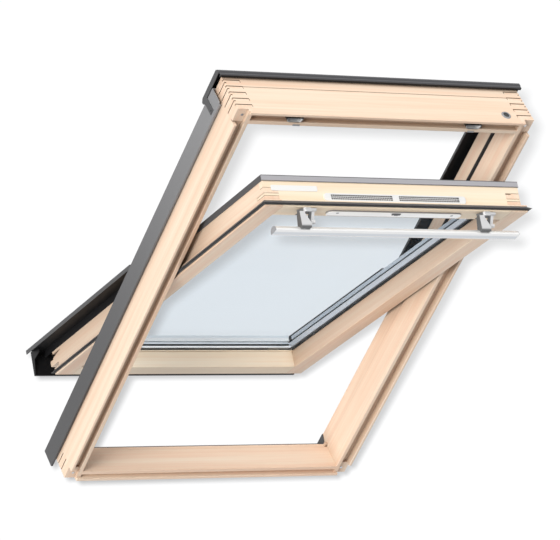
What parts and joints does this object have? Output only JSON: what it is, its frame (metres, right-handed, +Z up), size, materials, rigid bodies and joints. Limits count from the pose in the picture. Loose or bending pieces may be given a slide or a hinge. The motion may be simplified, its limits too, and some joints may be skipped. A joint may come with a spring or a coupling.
{
  "type": "centre pivot roof window",
  "caption": "Timber centre pivot roof window standing open: frame with grey metal covers, glazed sash, ventilation grille and control bar.",
  "frame": {"origin": "on the sill lower face, at mid width, below the room side of the corner blocks", "axes": "+X across the window to the right as seen from the room, +Y through it from the room to the outside, +Z up the slope"},
  "size_m": [0.799, 0.5941, 1.211],
  "materials": {
    "frame_wood": "clear lacquered pine",
    "sash_wood": "clear lacquered pine",
    "cover_metal": "satin grey coated sheet",
    "gasket": "matt black rubber",
    "glass": "clear sealed unit",
    "spacer_metal": "plain satin strip",
    "bar_metal": "satin anodised",
    "cast_metal": "satin cast grey",
    "white_plastic": "smooth white",
    "grey_plastic": "grey moulded ring",
    "black_plastic": "glossy black",
    "steel": "zinc plated",
    "plate": "blank satin plate"
  },
  "bodies": {
    "root": {"frame_head": "frame_wood", "frame_sill": "frame_wood", "frame_jamb_left": "frame_wood", "frame_jamb_right": "frame_wood", "jamb_gasket_left": "gasket", "jamb_gasket_right": "gasket", "side_cladding_left": "cover_metal", "side_cladding_right": "cover_metal", "upper_cover_left": "cover_metal", "upper_cover_right": "cover_metal", "head_hood": "cover_metal", "sill_cladding": "cover_metal", "ring_plug": "grey_plastic", "corner_screws": "steel", "striker_left": "black_plastic", "striker_right": "black_plastic", "pivot_frame_plate_left": "steel", "pivot_frame_plate_right": "steel", "pivot_sash_plate_left": "steel", "pivot_sash_plate_right": "steel", "sash_top_rail": "sash_wood", "sash_bottom_rail": "sash_wood", "sash_side_rail_left": "sash_wood", "sash_side_rail_right": "sash_wood", "sash_gasket": "gasket", "glazing_seal_room": "gasket", "glazing_seal_outer": "gasket", "inner_pane": "glass", "outer_pane": "glass", "glass_spacer": "spacer_metal", "top_cladding": "cover_metal", "sash_side_cladding_left": "cover_metal", "sash_side_cladding_right": "cover_metal", "lower_cover_left": "cover_metal", "lower_cover_right": "cover_metal", "bottom_cover": "cover_metal", "control_bar": "bar_metal", "bar_bracket_left": "cast_metal", "bar_bracket_right": "cast_metal", "lock_case": "white_plastic", "vent_grille": "white_plastic", "label_plate": "plate"}
  },
  "joints": []
}
